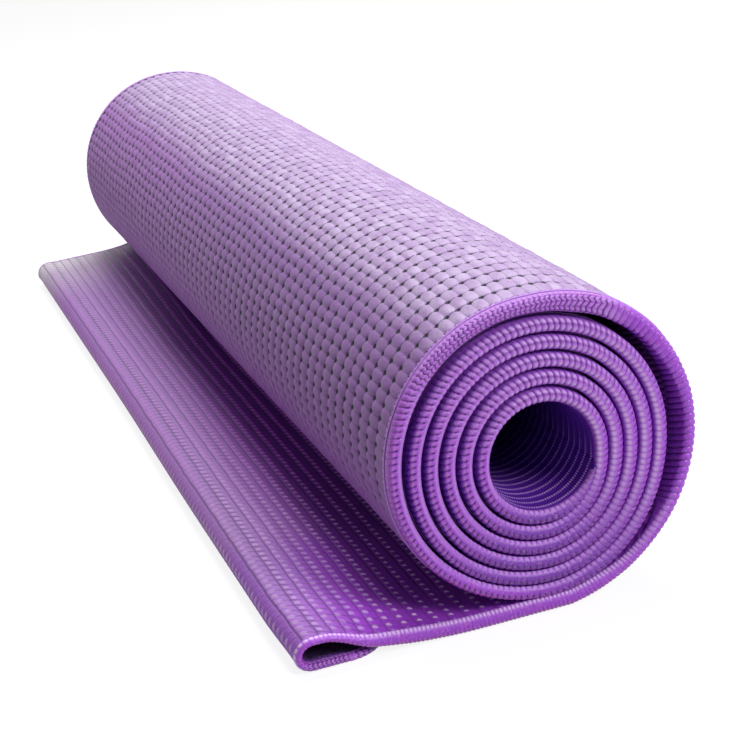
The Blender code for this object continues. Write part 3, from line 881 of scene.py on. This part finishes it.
def bandPiece(name, s, y, inS, inY, alongS, alongY, share, firm):
    # every array has one value a station, and share is the place within a rib, from 0 to 1;
    # across goes over the band, from 0 on the practice side to 1 on the base side
    turn = turnAt(s)
    facing = np.where(turn > 0, bottomAngle + 2 * math.pi * turn, bottomAngle)
    onLap = turn < 1
    rope = ropeShare(turn) * (turn > 0)
    knit = np.maximum(between(turn, *band["knitTurns"]) * onLap, ramp(s - foldStart, *band["knitHem"]))
    flat = ramp(turn, *band["flatTurns"])
    weights = {key: np.maximum(np.cos(facing - math.radians(way)), 0) ** 2
               for key, way in band["directions"].items()}
    total = sum(weights.values())
    weights = {key: value / total * (1 - rope) * (1 - knit) for key, value in weights.items()}
    left, top, right, bottom = (weights[key] for key in ("left", "top", "right", "bottom"))
    weights |= {"rope": rope, "knit": knit}

    noseSteps = np.linspace(0, 1, band["nosePoints"])
    across = np.concatenate([band["legPoints"][0], noseSteps, band["legPoints"][1]])[:, None]
    past, at = (lambda *places, form=form: form(across, *places) for form in (ramp, spot))
    outer = past(0.5, 0.65)
    tied = past(1.12, 1.02) * np.where(rope > 0.5, past(-0.31, -0.23), past(-0.05, 0.05))
    slits = {
        "left": past(0.36, 0.5), "bottom": 0.3 + 0.7 * past(0.45, 0.57),
        "top": 0.75 + 0.25 * past(0.05, 0.25), "right": 0.45 + 0.55 * outer,
        "rope": 1.0 - 0.18 * past(0.45, 0.75), "knit": 1.0,
    }
    dashes = {
        "left": at(0.53, 0.09) + 0.3 * past(0.56, 0.66), "bottom": at(0.6 + 0.22 * flat, 0.1) + 0.13,
        "top": 0.5 + 0.34 * at(0.6, 0.1), "right": 0.26 + 0.6 * at(0.7, 0.12),
        "rope": 0.62 - 0.22 * past(0.15, 0.5), "knit": 0.8,
    }
    along = np.concatenate([[0], np.cumsum(np.hypot(np.diff(s), np.diff(y)))])
    joined = ease(np.minimum(along, along[-1] - along) / band["joinRun"])
    slit = np.clip(1 - np.minimum(share, 1 - share) / (0.24 + 0.06 * left), 0, 1)
    plump = np.sin(math.pi * share)
    dip = 0.45 * slit + 0.55 * (1 - plump)
    dashed = sum(weights[key] * dashes[key] for key in dashes)
    depth = sum(weights[key] * slits[key] * band["slitDepths"][key] for key in slits) * mm
    bead = plump * at(0.1, 0.1) * bottom
    middle = at(0.6, 0.07) * top
    rowsAcross = across * band["knitRows"]
    rowSlit = np.clip(1 - np.abs(((rowsAcross + 0.5) % 1) - 0.5) / 0.32, 0, 1) * knit
    sink = depth * np.maximum(dip * firm, 0.8 * rowSlit) * tied - band["beadRise"] * bead \
        + band["middleSunk"] * middle * (1.0 - 0.6 * plump)
    sink = sink * joined
    lean = 0.75 * np.maximum(across - 0.45, 0) * (1 - rope - knit)
    zigzag = np.abs((rowsAcross % 2) - 1) - 0.5
    slide = (lean + 0.55 * zigzag * knit) * byTurn(band["pitches"], s) * joined * mm

    deep, level = band["noseDepth"], np.zeros((1, len(s)))
    legIn, legOut = (np.maximum(byTurn(band[key], s) * mm, deep + band["legSpare"]) + level
                     for key in ("practiceLegs", "baseLegs"))
    bends = np.radians(90 - 180 * noseSteps)[:, None] * band["noseBend"]
    outward = np.vstack([[[1.0]] * 3, np.sin(bends), [[-1.0]] * 2])  # which way each point's skin faces
    sideways = np.vstack([[[0.0]] * 3, np.cos(bends), [[0.0]] * 2])
    inset = np.vstack([legIn, legIn - band["legStep"] * (legIn > band["stepFrom"]), (legIn + deep) / 2,
                       deep * (1 - np.cos(bends)) + level, (legOut + deep) / 2, legOut])
    n = np.vstack([level + halfThick - band["legSunk"], level + halfThick, level + halfThick,
                   halfThick * np.sin(bends) + level, level - halfThick, level - halfThick + band["legSunk"]])
    # the lap's near rim is swollen on its inner side
    swell = byTurn(band["rimSwell"], s) * mm * (y < 0) * onLap
    n = n + swell * past(0.55, 0.15) * past(-0.34, -0.14)
    slide = slide - band["ropeSlant"] * rope * (y < 0) * inset
    inset = inset + sink * sideways
    n = n - sink * outward
    # the band is hollow, and its inner wall follows the legs
    wall, noseWall = band["legThickness"], level + band["noseWall"]
    innerLevel = halfThick - wall - band["wallSpare"]
    n = np.vstack([n, n[-1:] + wall, level - innerLevel, level + innerLevel, n[:1] - wall])
    inset = np.vstack([inset, legOut, noseWall, noseWall, legIn])
    slide = np.vstack([slide, slide[-1:], level, level, slide[:1]])

    # painted shade in the slits between ribs, the knit's rows and the middle groove
    grooves = np.maximum(slit * dashed * (0.8 + 0.3 * firm), np.maximum(0.4 * rowSlit, 0.55 * middle))
    # painted shade on the rings' outer sides, in the inner turns
    inner = ramp(turn, *band["innerTurns"])
    recessed = past(0.6, 0.9) * (0.95 * left + 0.1 * top + 0.9 * bottom + 0.35 * right)
    recessed = inner * np.maximum(recessed, 0.66 * bottom * past(0.2, 0.3))
    # painted highlights on the ribs, beads and knit, and a painted pale rear band beside the far edge
    pale = 0.28 * left * past(0.46, 0.34) + (0.9 + 0.6 * flat) * bead + 0.16 * top \
        + 0.75 * left * at(0.66, 0.08) * plump ** 5 \
        + 0.9 * top * at(0.36, 0.12) * plump ** 3 \
        + 1.35 * top * at(0.8, 0.11) * plump ** 3 \
        + 1.3 * right * at(0.28, 0.14) * (0.35 + 0.65 * plump ** 2) \
        + 0.34 * knit * (1 - rowSlit) * plump + 0.3 * knit * past(1.0, 1.2) \
        + 0.9 * (y > 0) * ramp(turn, *band["farPaleTurns"])
    warm = (0.85 * bottom * outer + 0.22 * knit + 0.35 * left * past(0.4, 0.7)) * firm
    inBore = (turn > mat["turns"] - band["boreTurns"]) & (np.abs(inS) > 0.3)
    marks = {
        "groove": np.where(inBore, 0, np.clip(grooves * tied * joined, 0, 1)),
        "pale": np.where(inBore, 0, np.clip(pale, 0, 1)),
        "warm": np.clip(warm, 0, 1),
        "ground": (turn < 0.13) * (y < 0) * (across < -0.05) * 1.0,
        "recessed": recessed,
        "inBore": inBore + 0 * across,
    }
    marks = {key: np.vstack([value] + [value[-1:]] * 4) for key, value in marks.items()}
    piece = wrappedTube(name, s + inset * inS + slide * alongS, y + inset * inY + slide * alongY, n, marks,
                        coreBindingLook if turn.min() > 5 else bindingLook)
    return piece


def edgeBinding(name, side):
    first = mat["cornerRadius"] - 0.2 * mm
    last = matLength - mat["tailCorner"] + 0.2 * mm
    s, share, firm = ribStations(first, last, lambda at: float(byTurn(band["pitches"], at)) * mm)
    ones, zeros = np.ones(len(s)), np.zeros(len(s))
    return bandPiece(name, s, side * halfWidth * ones, zeros, -side * ones, ones, zeros, share, firm)


def endBinding(name, end, inward, radius):
    # round one corner, along the end, and round the other corner
    arc, straight = radius * math.pi / 2, 2 * (halfWidth - radius)
    at, share, firm = ribStations(0, 2 * arc + straight, lambda place: band["endPitch"])
    angle = np.where(at < arc, math.pi / 2 - at / radius, 0) \
        + np.where(at > arc + straight, (at - arc - straight) / radius, 0)
    side = np.where(at < arc + straight / 2, -1.0, 1.0)
    centreY = np.clip(at - arc - straight / 2, -straight / 2, straight / 2)
    edgeS = end + inward * radius * (1 - np.cos(angle))
    edgeY = centreY + side * radius * np.sin(angle)
    inS, inY = inward * np.cos(angle), -side * np.sin(angle)
    return bandPiece(name, edgeS, edgeY, inS, inY, -inY * inward, inS * inward, share, firm)


bands = {
    "front_edge_binding": edgeBinding("front_band", -1),
    "rear_edge_binding": edgeBinding("rear_band", 1),
    "hem_end_binding": endBinding("hem_band", 0.0, 1, mat["cornerRadius"]),
    "core_end_binding": endBinding("core_band", matLength, -1, mat["tailCorner"]),
}
for node, piece in bands.items():
    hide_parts(node)
print("bindings done")

stitching = {
    "pitch": 2.2 * mm, "radius": 0.36 * mm, "flatness": 0.8,
    "shares": (0.0, 0.2, 0.5, 0.8), "sides": 6, "endGap": 2 * mm,
    # dark is painted shade where the stitch dips into the foam, and pale is a painted highlight
    "dark": 0.9,  # where it dips into the foam
    "pale": 0.45,
    # each with how far in from the leg it lies, and how far it dips
    "lines": {"edge_cord": (0.25 * mm, 0.0), "chain_stitch": (1.2 * mm, 0.45 * mm)},
}


def stitchLine(name, side, offset, dip):
    first = mat["cornerRadius"] + stitching["endGap"]
    count = int((matLength - 2 * first) / stitching["pitch"])
    shares = stitching["shares"] if dip else (0.0,)
    at = np.array([first + (k + share) * stitching["pitch"] for k in range(count) for share in shares])
    down = (np.tile(shares, count) == 0) * dip
    inset = byTurn(band["baseLegs"], at) * mm + offset
    angle = np.linspace(0, 2 * math.pi, stitching["sides"], endpoint=False)[:, None]
    s = at + 0 * angle
    y = side * (halfWidth - inset + stitching["radius"] * np.cos(angle))
    n = down - halfThick + stitching["radius"] * stitching["flatness"] * np.sin(angle)
    # stitches on the roll get painted highlights, and those under the flap get painted recess shade
    outside = (at > rollStart) * 1.0
    marks = {"groove": stitching["dark"] * (down > 0), "pale": stitching["pale"] * outside,
             "recessed": 1 - outside, "warm": 0.0, "ground": 0.0, "inBore": 0.0}
    piece = wrappedTube(name, s, y, n, marks, bindingLook)


for name, side in (("front", -1), ("rear", 1)):
    for kind, (offset, dip) in stitching["lines"].items():
        stitchLine(f"{name}_{kind}", side, offset, dip)
print("stitching done")

stageLook = {
    "floorSize": 30.0, "floorDrop": 0.3 * mm,
    "floorBounce": (0.6, 0.6, 0.6, 1),
    "floorSeen": (0.24, 0.24, 0.24, 1),  # what the camera sees of the floor's shading
    "floorGlow": 0.86,  # and of a white that lights nothing
    "skyLight": 0.17,
}


def forShow(lighting, shown):
    # what the eye and mirrors see, and what only lights the object
    rays = addNode("ShaderNodeLightPath")
    seen = plus(rays["Is Camera Ray"], rays["Is Glossy Ray"])
    seen = maths("ADD", seen, rays["Is Transmission Ray"], clamp=True)
    return addNode("ShaderNodeMixShader", i0=seen, i1=lighting[0], i2=shown[0])[0]


def emptyTree(owner):
    owner.use_nodes = True
    owner.node_tree.nodes.clear()
    making["tree"] = owner.node_tree


def buildStage():
    floor = bmesh.new()
    bmesh.ops.create_grid(floor, x_segments=1, y_segments=1, size=stageLook["floorSize"] / 2)
    bmesh.ops.translate(floor, vec=(0, 0, -stageLook["floorDrop"]), verts=floor.verts)
    made = bpy.data.meshes.new("floor")
    floor.to_mesh(made)
    floor.free()
    piece = linked("floor", made)
    look = bpy.data.materials.new("floor_white")
    emptyTree(look)
    white = addNode("ShaderNodeBsdfDiffuse", Color=stageLook["floorBounce"])
    shaded = addNode("ShaderNodeBsdfDiffuse", Color=stageLook["floorSeen"])
    glow = addNode("ShaderNodeEmission", Color=(1, 1, 1, 1), Strength=stageLook["floorGlow"])
    both = addNode("ShaderNodeAddShader", i0=shaded[0], i1=glow[0])
    addNode("ShaderNodeOutputMaterial", Surface=forShow(white, both))
    made.materials.append(look)

    world = bpy.data.worlds.new("white_room")
    bpy.context.scene.world = world
    emptyTree(world)
    light = addNode("ShaderNodeBackground", Color=(1, 1, 1, 1), Strength=stageLook["skyLight"])
    shown = addNode("ShaderNodeBackground", Color=(1, 1, 1, 1), Strength=1.0)
    addNode("ShaderNodeOutputWorld", Surface=forShow(light, shown))


lights = {
    "overhead": {"place": (0.22, 0.3, 1.65), "target": (0, 0, 0.05), "size": 0.8, "level": 0.9},
    "front_fill": {"place": (0.8, -1.5, 1.15), "target": (0, -0.2, 0.05), "size": 0.7, "level": 0.58},
}


def areaLight(name, place, target, size, level):
    lamp = bpy.data.lights.new(name, "AREA")
    lamp.shape = "SQUARE"
    lamp.size = size
    away = Vector(place) - Vector(target)
    lamp.energy = level * math.pi ** 2 * away.length_squared
    made = linked(name, lamp)
    made.location = place
    made.rotation_euler = away.to_track_quat("Z", "Y").to_euler()


buildStage()
for name, light in lights.items():
    areaLight(name, **light)

shot = {
    "azimuth": math.radians(-17.031), "elevation": math.radians(19.68),
    "roll": math.radians(-6.653), "place": (-0.217421, -0.867592, 0.327002),
    "focalPixels": 1741.56, "framePixels": 735, "sensorWidth": 36,
}


def buildCamera():
    a, e, r = shot["azimuth"], shot["elevation"], shot["roll"]
    back = Vector((math.sin(a) * math.cos(e), -math.cos(a) * math.cos(e), math.sin(e)))
    right = (-back).cross(Vector((0, 0, 1))).normalized()
    up = right.cross(-back)
    leanRight = math.cos(r) * right + math.sin(r) * up
    leanUp = -math.sin(r) * right + math.cos(r) * up
    data = bpy.data.cameras.new("camera")
    data.sensor_width = shot["sensorWidth"]
    data.lens = shot["focalPixels"] / shot["framePixels"] * data.sensor_width
    made = linked("camera", data)
    turned = Matrix((leanRight, leanUp, back)).transposed().to_4x4()
    made.matrix_world = Matrix.Translation(shot["place"]) @ turned
    bpy.context.scene.camera = made


buildCamera()
bpy.context.scene.view_settings.view_transform = "Standard"
print("stage, lights and camera done")
